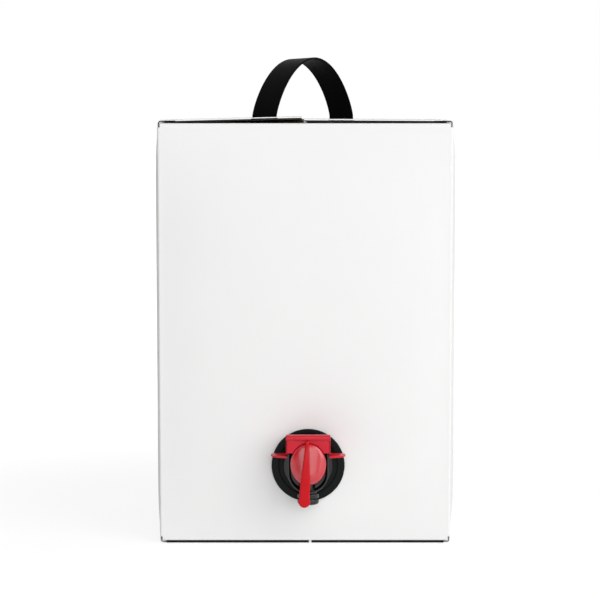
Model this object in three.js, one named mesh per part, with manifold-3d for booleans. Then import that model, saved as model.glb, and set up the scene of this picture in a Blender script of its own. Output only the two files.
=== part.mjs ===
// A bag in box carton: a white corrugated carton with a full liquid bag inside, a black carrying strap
// through its top flaps and a press tap in its front panel.
// Millimetres, +Z up, the front panel faces -Y, and the origin is the middle of the carton's base.

import * as THREE from "three";
import { mergeVertices } from "three/addons/utils/BufferGeometryUtils.js";
import Module from "manifold-3d";

const wasm = await Module();
wasm.setup();

// Carton
const cartonWidth = 168;
const cartonDepth = 100;
const cartonHeight = 247;
const board = 1.6;
const foldRadius = 2.4; // outside of a folded edge
const flapGap = 0.3; // between the inner and the outer flaps, at the fold
const innerFlapLength = 47;
const meetingGap = 1.2; // between the two outer flaps
const topMeetingX = -1.2;
const bottomMeetingX = 3;
const leftFlapLift = 1.6; // how far the free edge of a top flap stands up
const rightFlapLift = 1.1;
const glueTabWidth = 28;
const seamGap = 0.6; // open line of the glued corner
const glueLength = 30;
const glueWidth = 4;

// The full bag pushes the panels out
const leftBulge = 4.0;
const rightBulge = 4.6;
const panelBulge = 4.0; // front and back

// Carrying strap
const strapWidth = 17;
const strapThickness = 1.2;
const strapSpan = 81; // between the two legs
const strapRise = 36.5; // over the top of the carton
const strapAngle = 56; // degrees, from +X towards +Y
const strapX = -0.6;
const archPower = 0.82; // lower is fuller at the shoulders
const strapTilt = 0.7; // the front edge of the arch stands this much higher than its back edge
const strapFoot = 8;
const strapFootWidth = 24;
const slotClearance = 0.5;

// Tap
const tapX = 1.7;
const tapHeight = 47.5;
const seatGap = 0.3; // between two pieces that seat on each other
const flangeRadius = 21.2;
const flangeThickness = 1.6;
const neckRadius = 15;
const neckClearance = 0.5;
const weldFlangeRadius = 23;
const weldFlangeThickness = 1.4;
const rearFlangeRadius = 20;
const rearFlangeThickness = 1.5;
const flangeSpacing = 1.6; // between the rear flange and the bag's flange
const lipRadius = 14;
const lipHeight = 1.1;
const housingClearance = 1.5; // from the lip to the housing
const chamberWall = 2;
const nozzleInset = 1.15; // the nozzle stands this far behind the housing's back
const barrelRadius = 11;
const boreRadius = 9;
const barrelLength = 12.5;
const housingHalfWidth = 11.65;
const housingDepth = 13;
const housingWall = 1.05;
const recessDepth = 4.5;
const housingArc = 1.85; // centre of the housing's round lower end, below the tap's axis
const nozzleRadius = 6.05;
const nozzleBore = 4.2;
const nozzleDrop = 21.6; // tip of the nozzle below the tap's axis
const buttonHalfWidth = 10.2;
const buttonHalfHeight = 12.2;
const buttonCentre = 3.65; // above the tap's axis
const buttonCrown = 4.5;
const buttonTravel = 4;
const slidingGap = 0.4;
const stemRadius = 1.6;
const gripHalfWidth = 12.7;
const gripBar = 3.3; // height of the bar over the button
const barDepth = 4.8; // front to back
const roofThickness = 1.2; // plate behind the bar, over the housing
const roofSetback = 3.2;
const wingSpan = 43; // tip to tip
const wingThickness = 1.6;
const wingLength = 10.5; // front to back
const wingTop = 7.2; // above the tap's axis
const stripThickness = 1.5;
const stripWidth = 5.7;
const stripEndRadius = 3.4;

// Bag
const bagClearance = 2.2;
const bagCorner = 22;
const bagHeadroom = 4.4; // between the welded edge and the strap's feet
const bagWeld = 10;
const bagWeldThickness = 1.2;
const bagBottomRound = 16;
const bagTopRound = 24;

const insideOffset = board + bagClearance;
const innerTopZ = cartonHeight - board - flapGap; // top face of the front and back folds
const wallBottomZ = board + flapGap + foldRadius;
const wallTopZ = cartonHeight - wallBottomZ;
const strapTurn = THREE.MathUtils.degToRad(strapAngle);

// Joining and cutting

function solidOf(geometry) {
  const bare = geometry.clone();
  bare.deleteAttribute("normal");
  bare.deleteAttribute("uv");
  const merged = mergeVertices(bare, 1e-4);
  return new wasm.Manifold(
    new wasm.Mesh({
      numProp: 3,
      vertProperties: new Float32Array(merged.attributes.position.array),
      triVerts: new Uint32Array(merged.index.array),
    }),
  );
}

function geometryOf(solid) {
  const mesh = solid.getMesh();
  const stride = mesh.numProp;
  const position = new Float32Array(mesh.numVert * 3);
  for (let i = 0; i < mesh.numVert; i += 1) {
    position.set(mesh.vertProperties.subarray(i * stride, i * stride + 3), i * 3);
  }
  const geometry = new THREE.BufferGeometry();
  geometry.setAttribute("position", new THREE.BufferAttribute(position, 3));
  geometry.setIndex(new THREE.BufferAttribute(mesh.triVerts, 1));
  geometry.computeVertexNormals();
  return geometry;
}

function join(solids) {
  return solids.reduce((all, solid) => all.add(solid));
}

function cut(solid, tools) {
  return tools.reduce((rest, tool) => rest.subtract(tool), solid);
}

// Basic forms

function box(low, high) {
  const size = high.map((value, i) => value - low[i]);
  const geometry = new THREE.BoxGeometry(...size);
  geometry.translate(...low.map((value, i) => value + size[i] / 2));
  return solidOf(geometry);
}

// A shape extruded by depth, with its x, y and depth laid along three axes from a starting point.
function extruded(shape, depth, alongX, alongY, alongDepth, start = [0, 0, 0], curveSegments = 12) {
  const geometry = new THREE.ExtrudeGeometry(shape, { depth, bevelEnabled: false, curveSegments });
  const place = new THREE.Matrix4().makeBasis(alongX, alongY, alongDepth);
  place.setPosition(...start);
  geometry.applyMatrix4(place);
  return solidOf(geometry);
}

const axisX = new THREE.Vector3(1, 0, 0);
const axisY = new THREE.Vector3(0, 1, 0);
const axisZ = new THREE.Vector3(0, 0, 1);
const towardsViewer = new THREE.Vector3(0, -1, 0);

// A front view outline (x, z) between two distances in front of y = 0.
function plate(shape, near, far, curveSegments) {
  return extruded(shape, far - near, axisX, axisZ, towardsViewer, [0, -near, 0], curveSegments);
}

// A side view outline (distance in front of y = 0, z) from one x to another.
function beam(shape, fromX, toX) {
  return extruded(shape, toX - fromX, towardsViewer, axisZ, axisX.clone().negate(), [toX, 0, 0]);
}

function rectangle(x0, y0, x1, y1) {
  return new THREE.Shape([
    new THREE.Vector2(x0, y0),
    new THREE.Vector2(x1, y0),
    new THREE.Vector2(x1, y1),
    new THREE.Vector2(x0, y1),
  ]);
}

// A turned piece on the Y axis, from pairs of radius and distance in front of y = 0. The profile runs
// outwards along the back of the piece and back in along its front.
function turned(profile, segments = 48) {
  const points = profile.map(([radius, out]) => new THREE.Vector2(radius, -out)).reverse();
  return solidOf(new THREE.LatheGeometry([...points, points[0]], segments));
}

// The outline of a sheet of even thickness whose middle line follows a path.
function sheetOutline(path, thickness) {
  const sides = [[], []];
  path.forEach((point, i) => {
    const before = path[Math.max(i - 1, 0)];
    const after = path[Math.min(i + 1, path.length - 1)];
    const into = point.clone().sub(before).normalize();
    const outOf = after.clone().sub(point).normalize();
    const along = into.add(outOf).normalize();
    const bend = Math.max(along.dot(outOf.lengthSq() ? outOf : along), 0.5);
    const across = new THREE.Vector2(-along.y, along.x).multiplyScalar(thickness / 2 / bend);
    sides[0].push(point.clone().add(across));
    sides[1].push(point.clone().sub(across));
  });
  return new THREE.Shape([...sides[0], ...sides[1].reverse()]);
}

// A closed body through loops of points that run anticlockwise seen from above, the lowest first.
function lofted(loops) {
  const count = loops[0].length;
  const position = loops.flat().flatMap((point) => point.toArray());
  const index = [];
  for (let k = 0; k + 1 < loops.length; k += 1) {
    for (let i = 0; i < count; i += 1) {
      const a = k * count + i;
      const b = k * count + ((i + 1) % count);
      index.push(a, b, b + count, a, b + count, a + count);
    }
  }
  const cap = (k) =>
    THREE.ShapeUtils.triangulateShape(loops[k].map((point) => new THREE.Vector2(point.x, point.y)), []).map(
      (face) => face.map((i) => k * count + i),
    );
  cap(0).forEach(([a, b, c]) => index.push(a, c, b));
  cap(loops.length - 1).forEach((face) => index.push(...face));
  const geometry = new THREE.BufferGeometry();
  geometry.setAttribute("position", new THREE.Float32BufferAttribute(position, 3));
  geometry.setIndex(index);
  return solidOf(geometry);
}

// How the full bag bends the panels

const flatPatchRadius = flangeRadius + 3;

// 1 in the middle of a wall, and 0 at its folds, which power sets how suddenly it reaches.
function crown(across, halfWidth, power) {
  return 1 - Math.min(Math.abs(across) / halfWidth, 1) ** power;
}

function upTheWall(z, power) {
  return crown(z - cartonHeight / 2, cartonHeight / 2 - wallBottomZ, power);
}

function sideShift(x, y, z) {
  const bulge = x < 0 ? leftBulge : rightBulge;
  return bulge * crown(y, cartonDepth / 2 - foldRadius, 4) * upTheWall(z, 8);
}

function plainPanelShift(x, z) {
  return panelBulge * crown(x, cartonWidth / 2 - foldRadius, 3) * upTheWall(z, 4);
}

const tapShift = plainPanelShift(tapX, tapHeight);

// The tap's flanges hold the front panel flat around the hole.
function panelShift(x, y, z) {
  const plain = plainPanelShift(x, z);
  if (y > 0) {
    return plain;
  }
  const fromTap = Math.hypot(x - tapX, z - tapHeight);
  const free = THREE.MathUtils.smoothstep(fromTap, flatPatchRadius, flatPatchRadius * 2);
  return THREE.MathUtils.lerp(Math.min(tapShift, panelBulge * upTheWall(z, 4) * 1.5), plain, free);
}

function bent(x, y, z) {
  const shiftX = (sideShift(x, y, z) * x) / (cartonWidth / 2);
  const shiftY = (panelShift(x, y, z) * y) / (cartonDepth / 2);
  return new THREE.Vector3(x + shiftX, y + shiftY, z);
}

// A rounded rectangle seen from above, set in from the carton's outside.
function planLoop(inset, radius, stepsX, stepsY, stepsCorner) {
  const halfX = cartonWidth / 2 - inset - radius;
  const halfY = cartonDepth / 2 - inset - radius;
  const corners = [
    [halfX, -halfY, -90],
    [halfX, halfY, 0],
    [-halfX, halfY, 90],
    [-halfX, -halfY, 180],
  ];
  const points = [];
  corners.forEach(([x, y, start], i) => {
    for (let k = 0; k <= stepsCorner; k += 1) {
      const turn = THREE.MathUtils.degToRad(start + (90 * k) / stepsCorner);
      points.push([x + radius * Math.cos(turn), y + radius * Math.sin(turn)]);
    }
    const [x1, y1] = points[points.length - 1];
    const next = THREE.MathUtils.degToRad(corners[(i + 1) % 4][2]);
    const x2 = corners[(i + 1) % 4][0] + radius * Math.cos(next);
    const y2 = corners[(i + 1) % 4][1] + radius * Math.sin(next);
    const steps = i % 2 === 0 ? stepsY : stepsX;
    for (let k = 1; k < steps; k += 1) {
      points.push([x1 + ((x2 - x1) * k) / steps, y1 + ((y2 - y1) * k) / steps]);
    }
  });
  return points;
}

// Heights up the walls, closer together near the folds.
function wallHeights(steps) {
  const heights = [];
  for (let k = 0; k <= steps; k += 1) {
    const share = (1 - Math.cos((Math.PI * k) / steps)) / 2;
    const even = k / steps;
    heights.push(THREE.MathUtils.lerp(wallBottomZ, wallTopZ, 0.5 * share + 0.5 * even));
  }
  return heights;
}

function wallLoft(inset, radius) {
  const plan = planLoop(inset, radius, 12, 7, 3);
  const levels = wallHeights(15).map((z) => plan.map(([x, y]) => bent(x, y, z)));
  return levels;
}

// Carton

const overlapZ = 1; // the fold pieces start this far inside the walls

// A flap with its fold, seen from the side: the middle line runs up the wall and turns over the edge.
// end is 1 for the top of the carton and -1 for its base, stack is how many layers lie outside it.
function foldedPath(side, halfOutside, freeEdge, end, outsideStack, lift) {
  const zAt = (down) => (end > 0 ? cartonHeight - down : down);
  const wall = halfOutside - board / 2;
  const middle = outsideStack + board / 2;
  const bendRadius = foldRadius - board / 2;
  const path = [new THREE.Vector2(side * wall, zAt(wallBottomZ + overlapZ))];
  for (let k = 0; k <= 4; k += 1) {
    const turn = (Math.PI / 8) * k;
    const out = wall - bendRadius * (1 - Math.cos(turn));
    path.push(new THREE.Vector2(side * out, zAt(middle + bendRadius * (1 - Math.sin(turn)))));
  }
  path.push(new THREE.Vector2(freeEdge, zAt(middle - lift)));
  return path;
}

function outerFlap(side, end, lift) {
  const meeting = end > 0 ? topMeetingX : bottomMeetingX;
  const freeEdge = meeting + (side * meetingGap) / 2;
  const path = foldedPath(side, cartonWidth / 2, freeEdge, end, 0, lift);
  const innerHalf = cartonDepth / 2 - foldRadius;
  const fold = extruded(
    sheetOutline(path, board),
    2 * innerHalf,
    axisX,
    axisZ,
    towardsViewer,
    [0, innerHalf, 0],
  );
  const flat = extruded(
    sheetOutline(path.slice(-2), board),
    cartonDepth,
    axisX,
    axisZ,
    towardsViewer,
    [0, cartonDepth / 2, 0],
  );
  return fold.add(flat);
}

function innerFlap(side, end) {
  const halfLength = cartonWidth / 2 - board - flapGap;
  const freeEdge = side * (cartonDepth / 2 - innerFlapLength);
  const path = foldedPath(side, cartonDepth / 2, freeEdge, end, board + flapGap, 0);
  return extruded(
    sheetOutline(path, board),
    2 * halfLength,
    axisY,
    axisZ,
    axisX,
    [-halfLength, 0, 0],
  );
}

// Strips of hot melt glue between an outer flap and the two inner flaps under it.
function glueStrips(side, end, lift) {
  const share = 0.25;
  const x = side * (cartonWidth / 2) * (1 - share);
  const near = board - 0.1 - Math.max(lift, 0) * share;
  const far = board + flapGap + 0.1;
  const heights = end > 0 ? [cartonHeight - far, cartonHeight - near] : [near, far];
  return [-1, 1].map((row) => {
    const y = (row * cartonDepth) / 4;
    return box(
      [x - glueWidth / 2, y - glueLength / 2, heights[0]],
      [x + glueWidth / 2, y + glueLength / 2, heights[1]],
    );
  });
}

// The tab of the glued corner lies inside the back panel and follows its bulge.
function glueTab() {
  const steps = 4;
  const fromX = -cartonWidth / 2 + board / 2;
  const toX = -cartonWidth / 2 + board + glueTabWidth;
  const levels = wallHeights(15).map((z) => {
    const row = (inset, backwards) => {
      const points = [];
      for (let k = 0; k <= steps; k += 1) {
        const share = backwards ? 1 - k / steps : k / steps;
        const x = THREE.MathUtils.lerp(fromX, toX, share);
        points.push(new THREE.Vector3(x, cartonDepth / 2 - inset + panelShift(x, 1, z), z));
      }
      return points;
    };
    return [...row(2 * board, false), ...row(board / 2, true)];
  });
  return lofted(levels);
}

function seamCut() {
  const x = -cartonWidth / 2 + board;
  return box(
    [x, cartonDepth / 2 - board, wallBottomZ - overlapZ],
    [x + seamGap, cartonDepth / 2 + panelBulge, wallTopZ + overlapZ],
  );
}

function carton() {
  const walls = lofted(wallLoft(0, foldRadius)).subtract(
    lofted(wallLoft(board, foldRadius - board / 2).map((loop, k, all) => stretchEnds(loop, k, all.length))),
  );
  const flaps = [-1, 1].flatMap((end) => [
    outerFlap(-1, end, end > 0 ? leftFlapLift : 0),
    outerFlap(1, end, end > 0 ? rightFlapLift : 0),
    innerFlap(-1, end),
    innerFlap(1, end),
    ...glueStrips(-1, end, end > 0 ? leftFlapLift : 0),
    ...glueStrips(1, end, end > 0 ? rightFlapLift : 0),
  ]);
  const hole = turned([
    [0, -foldRadius * 2],
    [neckRadius + neckClearance, -foldRadius * 2],
    [neckRadius + neckClearance, foldRadius * 2],
    [0, foldRadius * 2],
  ]).translate(tapX, -cartonDepth / 2 - tapShift, tapHeight);
  return cut(join([walls, ...flaps, glueTab()]), [hole, seamCut(), ...strapSlots()]);
}

// The inside is cut a little past the ends of the walls, so that no skin is left over it.
function stretchEnds(loop, k, count) {
  const shift = k === 0 ? -overlapZ : k === count - 1 ? overlapZ : 0;
  return loop.map((point) => new THREE.Vector3(point.x, point.y, point.z + shift));
}

// Carrying strap

const strapAlong = new THREE.Vector3(Math.cos(strapTurn), Math.sin(strapTurn), 0);
const strapAcross = new THREE.Vector3(Math.sin(strapTurn), -Math.cos(strapTurn), 0);
const strapFootZ = innerTopZ - board - seatGap - strapThickness / 2;

// The arch: its height at a distance from the middle, upright where it leaves the raised flap.
function archHeight(distance) {
  const share = Math.min(Math.abs(distance) / (strapSpan / 2), 1);
  const rise = strapRise - strapThickness / 2 - leftFlapLift;
  return cartonHeight + leftFlapLift + rise * (1 - share ** 2) ** archPower;
}

function strapPath() {
  const half = strapSpan / 2;
  const bend = 1.4;
  const leg = [
    new THREE.Vector2(-half - strapFoot, strapFootZ),
    new THREE.Vector2(-half - bend, strapFootZ),
    new THREE.Vector2(-half - bend * 0.3, strapFootZ + bend * 0.3),
    new THREE.Vector2(-half, strapFootZ + bend),
  ];
  const arch = [];
  const steps = 28;
  for (let k = 0; k <= steps; k += 1) {
    const distance = half * Math.sin(Math.PI * (k / steps - 0.5));
    arch.push(new THREE.Vector2(distance, archHeight(distance)));
  }
  const otherLeg = leg.map((point) => new THREE.Vector2(-point.x, point.y)).reverse();
  return [...leg, ...arch, ...otherLeg];
}

// A side view of the strap, or of something that fits it, laid across the strap's turned width.
function acrossStrap(shape, width) {
  const start = strapAcross.clone().multiplyScalar(-width / 2);
  return extruded(shape, width, strapAlong, axisZ, strapAcross, [start.x + strapX, start.y, 0]);
}

function strapSlots() {
  const half = strapThickness / 2 + slotClearance;
  return [-1, 1].map((side) => {
    const at = (side * strapSpan) / 2;
    const shape = rectangle(at - half, strapFootZ, at + half, cartonHeight + board + leftFlapLift);
    return acrossStrap(shape, strapWidth + 2 * slotClearance);
  });
}

function handleStrap() {
  const shape = sheetOutline(strapPath(), strapThickness);
  const geometry = new THREE.ExtrudeGeometry(shape, { depth: strapWidth, bevelEnabled: false });
  const position = geometry.attributes.position;
  for (let i = 0; i < position.count; i += 1) {
    const share = THREE.MathUtils.clamp((position.getY(i) - cartonHeight) / strapRise, 0, 1);
    const lean = strapTilt * share * (position.getZ(i) / strapWidth - 0.5);
    position.setY(i, position.getY(i) + lean);
  }
  const place = new THREE.Matrix4().makeBasis(strapAlong, axisZ, strapAcross);
  const start = strapAcross.clone().multiplyScalar(-strapWidth / 2);
  place.setPosition(start.x + strapX, start.y, 0);
  geometry.applyMatrix4(place);
  const feet = [-1, 1].map((side) => {
    const from = side * (strapSpan / 2 + strapFoot * 0.35);
    const to = side * (strapSpan / 2 + strapFoot);
    const half = strapThickness / 2;
    const shape = rectangle(Math.min(from, to), strapFootZ - half, Math.max(from, to), strapFootZ + half);
    return acrossStrap(shape, strapFootWidth);
  });
  return join([solidOf(geometry), ...feet]);
}

// Bag

// How far the bag's outline pulls in near its rounded bottom and top.
function bagInset(z, bottom, top) {
  const fromEnd = (distance, radius) => {
    const share = Math.min(distance / radius, 1);
    return radius * (1 - Math.sqrt(1 - (1 - share) ** 2)) * 0.8;
  };
  return Math.max(fromEnd(z - bottom, bagBottomRound), fromEnd(top - z, bagTopRound));
}

function innerBag() {
  const bottom = 2 * board + flapGap + seatGap;
  const strapFeet = cartonHeight - bottom - strapThickness;
  const top = strapFeet - bagHeadroom - bagWeld;
  const low = bottom + bagBottomRound;
  const high = top - bagTopRound;
  const heights = [
    ...[0, 0.09, 0.25, 0.5, 0.88].map((share) => bottom + share * bagBottomRound),
    ...[0.08, 0.22, 0.38, 0.54, 0.7, 0.86, 1].map((share) => low + share * (high - low)),
    ...[0.34, 0.59, 0.79, 0.92, 1].map((share) => high + share * bagTopRound),
  ];
  const levels = heights.map((z) => {
    const inset = bagInset(z, bottom, top);
    return planLoop(insideOffset + inset, bagCorner - inset * 0.5, 5, 4, 4).map(([x, y]) => bent(x, y, z));
  });
  const weld = box(
    [-cartonWidth / 2 + bagCorner, -bagWeldThickness / 2, top - 3],
    [cartonWidth / 2 - bagCorner, bagWeldThickness / 2, top + bagWeld],
  );
  const pocket = turned([
    [0, -barrelLength - 4],
    [barrelRadius + seatGap * 3, -barrelLength - 4],
    [barrelRadius + seatGap * 3, weldFlangeBack - seatGap],
    [weldFlangeRadius + seatGap * 2, weldFlangeBack - seatGap],
    [weldFlangeRadius + seatGap * 2, flangeThickness],
    [0, flangeThickness],
  ]).translate(tapX, -cartonDepth / 2 - tapShift, tapHeight);
  return lofted(levels).add(weld).subtract(pocket);
}

// Tap, on its own axis: y = 0 is the outside of the front panel at the hole

const flangeFront = seatGap + flangeThickness;
const lipFront = flangeFront + lipHeight;
const rearFlangeFront = -board - seatGap;
const rearFlangeBack = rearFlangeFront - rearFlangeThickness;
const weldFlangeFront = rearFlangeBack - flangeSpacing;
const weldFlangeBack = weldFlangeFront - weldFlangeThickness;
const housingBack = lipFront + housingClearance;
const housingFront = housingBack + housingDepth;
const recessFloor = housingFront - recessDepth;
const chamberBack = housingBack + chamberWall;
const barrelBack = housingFront - housingDepth - barrelLength;
const glandBore = barrelRadius + seatGap;
const recessHalfWidth = housingHalfWidth - housingWall;
const housingTop = buttonCentre + buttonHalfHeight + slidingGap + housingWall;

function spoutGland() {
  return turned([
    [glandBore, weldFlangeBack],
    [weldFlangeRadius, weldFlangeBack],
    [weldFlangeRadius, weldFlangeFront],
    [neckRadius, weldFlangeFront],
    [neckRadius, rearFlangeBack],
    [rearFlangeRadius, rearFlangeBack],
    [rearFlangeRadius, rearFlangeFront],
    [neckRadius, rearFlangeFront],
    [neckRadius, seatGap],
    [flangeRadius, seatGap],
    [flangeRadius, flangeFront - 0.5],
    [flangeRadius - 0.5, flangeFront],
    [lipRadius, flangeFront],
    [lipRadius, lipFront],
    [glandBore, lipFront],
  ]);
}

// A long U with a round lower end, as wide as twice halfWidth.
function uShape(halfWidth, top) {
  const shape = new THREE.Shape();
  shape.moveTo(-halfWidth, top);
  shape.lineTo(-halfWidth, -housingArc);
  shape.absarc(0, -housingArc, halfWidth, Math.PI, 2 * Math.PI, false);
  shape.lineTo(halfWidth, top);
  shape.closePath();
  return shape;
}

function oval(halfWidth, halfHeight) {
  const shape = new THREE.Shape();
  shape.absellipse(0, buttonCentre, halfWidth, halfHeight, 0, 2 * Math.PI, false, 0);
  return shape;
}

const chamberHalfWidth = recessHalfWidth - 1.8;
const chamberHalfHeight = buttonHalfHeight - (buttonHalfWidth - chamberHalfWidth);
const nozzleOut = housingBack + nozzleRadius - nozzleInset;

// An upright cylinder under the housing, between two heights.
function uprightCylinder(radius, low, high) {
  const geometry = new THREE.CylinderGeometry(radius, radius, high - low, 32);
  geometry.rotateX(Math.PI / 2);
  geometry.translate(0, -nozzleOut, (low + high) / 2);
  return solidOf(geometry);
}

// The ring that guides the valve stem, held by three ribs in the barrel.
function stemGuide() {
  const ringRadius = stemRadius + slidingGap + 1.4;
  const ring = turned([
    [0, -2],
    [ringRadius, -2],
    [ringRadius, 1],
    [0, 1],
  ], 24);
  const ribs = [0, 1, 2].map((k) => {
    const rib = rectangle(0, -0.6, boreRadius + 0.5, 0.6);
    const turn = (k * 2 * Math.PI) / 3 + Math.PI / 2;
    const along = new THREE.Vector3(Math.cos(turn), 0, Math.sin(turn));
    const across = new THREE.Vector3(-Math.sin(turn), 0, Math.cos(turn));
    return extruded(rib, 3, along, across, towardsViewer, [0, 2, 0]);
  });
  const hole = turned([
    [0, -3],
    [stemRadius + slidingGap, -3],
    [stemRadius + slidingGap, 2],
    [0, 2],
  ], 24);
  return cut(join([ring, ...ribs]), [hole]);
}

function tapBody() {
  const barrel = turned([
    [0, barrelBack],
    [barrelRadius, barrelBack],
    [barrelRadius, lipFront + seatGap],
    [lipRadius, lipFront + seatGap],
    [lipRadius, housingBack + 0.2],
    [0, housingBack + 0.2],
  ]);
  const housing = plate(uShape(housingHalfWidth, housingTop), housingBack, housingFront, 24);
  const nozzle = uprightCylinder(nozzleRadius, -nozzleDrop, -housingArc - housingHalfWidth + 3);
  const recess = plate(uShape(recessHalfWidth, housingTop - housingWall), recessFloor, housingFront + 1, 24);
  const chamber = plate(oval(chamberHalfWidth, chamberHalfHeight), chamberBack, recessFloor + 1, 36);
  const bore = turned([
    [0, barrelBack - 1],
    [boreRadius, barrelBack - 1],
    [boreRadius, chamberBack + 0.5],
    [0, chamberBack + 0.5],
  ]);
  const groove = housingArc + housingHalfWidth + 0.9;
  const outlet = uprightCylinder(nozzleBore, -nozzleDrop - 1, -groove);
  const passage = uprightCylinder(3, -groove - 1, 0);
  const body = join([barrel, housing, nozzle]);
  return cut(body, [recess, chamber, bore, outlet, passage]).add(stemGuide());
}

// Press button: an oval cap whose skirt slides in the chamber, with a socket for the stem
const buttonBack = recessFloor + buttonTravel + slidingGap;
const skirtHalfWidth = chamberHalfWidth - slidingGap;
const skirtBack = chamberBack + buttonTravel + 1;
const capEdge = 1.2;
const socketBack = chamberBack + buttonTravel + 2.4;

function pushButton() {
  const stretch = buttonHalfHeight / buttonHalfWidth;
  const crownSteps = 10;
  const dome = [];
  for (let k = 0; k <= crownSteps; k += 1) {
    const turn = (Math.PI / 2) * (k / crownSteps);
    dome.push([
      buttonHalfWidth * Math.cos(turn),
      buttonBack + capEdge + buttonCrown * Math.sin(turn),
    ]);
  }
  const outside = [
    [0, buttonBack],
    [buttonHalfWidth - 0.3, buttonBack],
    [buttonHalfWidth, buttonBack + 0.3],
    ...dome.slice(0, -1),
    [0, buttonBack + capEdge + buttonCrown],
  ];
  const skirt = [
    [skirtHalfWidth - 1.2, skirtBack],
    [skirtHalfWidth, skirtBack],
    [skirtHalfWidth, buttonBack + 0.5],
    [skirtHalfWidth - 1.2, buttonBack + 0.5],
  ];
  const socket = turned([
    [0, socketBack],
    [stemRadius + 1.7, socketBack],
    [stemRadius + 1.7, buttonBack + 0.5],
    [0, buttonBack + 0.5],
  ], 24);
  const socketHole = turned([
    [0, socketBack - 1],
    [stemRadius + seatGap, socketBack - 1],
    [stemRadius + seatGap, buttonBack + 1],
    [0, buttonBack + 1],
  ], 24);
  const raised = (solid) => solid.scale([1, 1, stretch]).translate(0, 0, buttonCentre);
  const cap = join([raised(turned(outside, 40)), raised(turned(skirt, 40)), socket]);
  return cut(cap, [socketHole]);
}

// Valve: a stem with a disc behind the barrel, and a soft ring that closes on the barrel's end
const sealThickness = 1.3;
const sealFront = barrelBack - seatGap;
const discFront = sealFront - sealThickness - seatGap;
const discRadius = barrelRadius - 0.8;

function valveStem() {
  return turned([
    [0, discFront - 1.1],
    [discRadius, discFront - 1.1],
    [discRadius, discFront],
    [stemRadius, discFront],
    [stemRadius, buttonBack + 1 - seatGap],
    [0, buttonBack + 1 - seatGap],
  ], 36);
}

function valveSeal() {
  return turned([
    [stemRadius + seatGap, sealFront - sealThickness],
    [discRadius + 0.2, sealFront - sealThickness],
    [discRadius + 0.2, sealFront - 0.3],
    [discRadius - 0.1, sealFront],
    [stemRadius + seatGap, sealFront],
  ], 36);
}

// Finger grip: a bar over the button, a face plate with an arched opening, two cheeks and two wings
const gripInside = housingHalfWidth + seatGap;
const gripBack = housingBack + seatGap;
const faceBack = housingFront + seatGap;
const faceFront = faceBack + 1.6;
const barBottom = housingTop + seatGap;
const barTop = barBottom + gripBar;
const barFront = faceFront + 2.3;
const cheekBottom = wingTop - wingThickness;
const faceBottom = wingTop + 2.4;

function roundedBar() {
  const shape = new THREE.Shape();
  const r = gripBar / 2 - 0.2;
  shape.moveTo(barFront - barDepth, barBottom);
  shape.lineTo(barFront - r, barBottom);
  shape.absarc(barFront - r, barBottom + r, r, -Math.PI / 2, 0, false);
  shape.lineTo(barFront, barTop - r);
  shape.absarc(barFront - r, barTop - r, r, 0, Math.PI / 2, false);
  shape.lineTo(barFront - barDepth + r, barTop);
  shape.absarc(barFront - barDepth + r, barTop - r, r, Math.PI / 2, Math.PI, false);
  shape.closePath();
  return shape;
}

// A wing seen from above: x outwards, y towards the viewer, with a rounded tip.
function wingShape() {
  const tip = wingSpan / 2;
  const radius = wingLength * 0.35;
  const shape = new THREE.Shape();
  shape.moveTo(gripInside + 0.2, gripBack);
  shape.lineTo(tip - radius, gripBack);
  shape.absarc(tip - radius, gripBack + radius, radius, -Math.PI / 2, 0, false);
  shape.lineTo(tip, gripBack + wingLength - radius);
  shape.absarc(tip - radius, gripBack + wingLength - radius, radius, 0, Math.PI / 2, false);
  shape.lineTo(gripInside + 0.2, gripBack + wingLength);
  shape.closePath();
  return shape;
}

function gripFrame() {
  const bar = beam(roundedBar(), -gripHalfWidth, gripHalfWidth);
  const roof = box(
    [-gripHalfWidth, -faceFront, barBottom],
    [gripHalfWidth, -gripBack - roofSetback, barBottom + roofThickness],
  );
  const cheeks = [-1, 1].map((side) => {
    const inner = side * gripInside;
    const outer = side * gripHalfWidth;
    return box(
      [Math.min(inner, outer), -faceFront, cheekBottom],
      [Math.max(inner, outer), -gripBack, barBottom + 0.5],
    );
  });
  const facePlate = plate(
    rectangle(-gripHalfWidth, faceBottom, gripHalfWidth, barBottom + 0.5),
    faceBack,
    faceFront,
  );
  const arch = plate(
    oval(buttonHalfWidth + slidingGap, buttonHalfHeight + slidingGap),
    faceBack - 1,
    faceFront + 1,
    36,
  );
  const rightWing = extruded(wingShape(), wingThickness, axisX, towardsViewer, axisZ.clone().negate(), [
    0,
    0,
    wingTop,
  ]);
  const wings = [rightWing, rightWing.mirror([1, 0, 0])];
  return join([bar, roof, facePlate.subtract(arch), ...cheeks, ...wings]);
}

// Tamper strip: a wedge that hangs from the bar in front of the button, with a round pull end
const stripTop = barBottom - seatGap;
const stripBottom = -nozzleDrop + 4.6;
const stripEndX = -2.2;

function stripOutline() {
  const shape = new THREE.Shape();
  const left = stripEndX - stripWidth / 2;
  const right = stripEndX + stripWidth / 2;
  shape.moveTo(-1.4, stripTop);
  shape.lineTo(left + 0.5, stripBottom + 10);
  shape.lineTo(left - 0.2, stripBottom + 2);
  shape.absarc(stripEndX, stripBottom, stripEndRadius, Math.PI, 2 * Math.PI, false);
  shape.lineTo(right + 0.2, stripBottom + 2);
  shape.lineTo(right + 0.5, stripBottom + 10);
  shape.lineTo(0.4, stripTop);
  shape.closePath();
  return shape;
}

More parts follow.
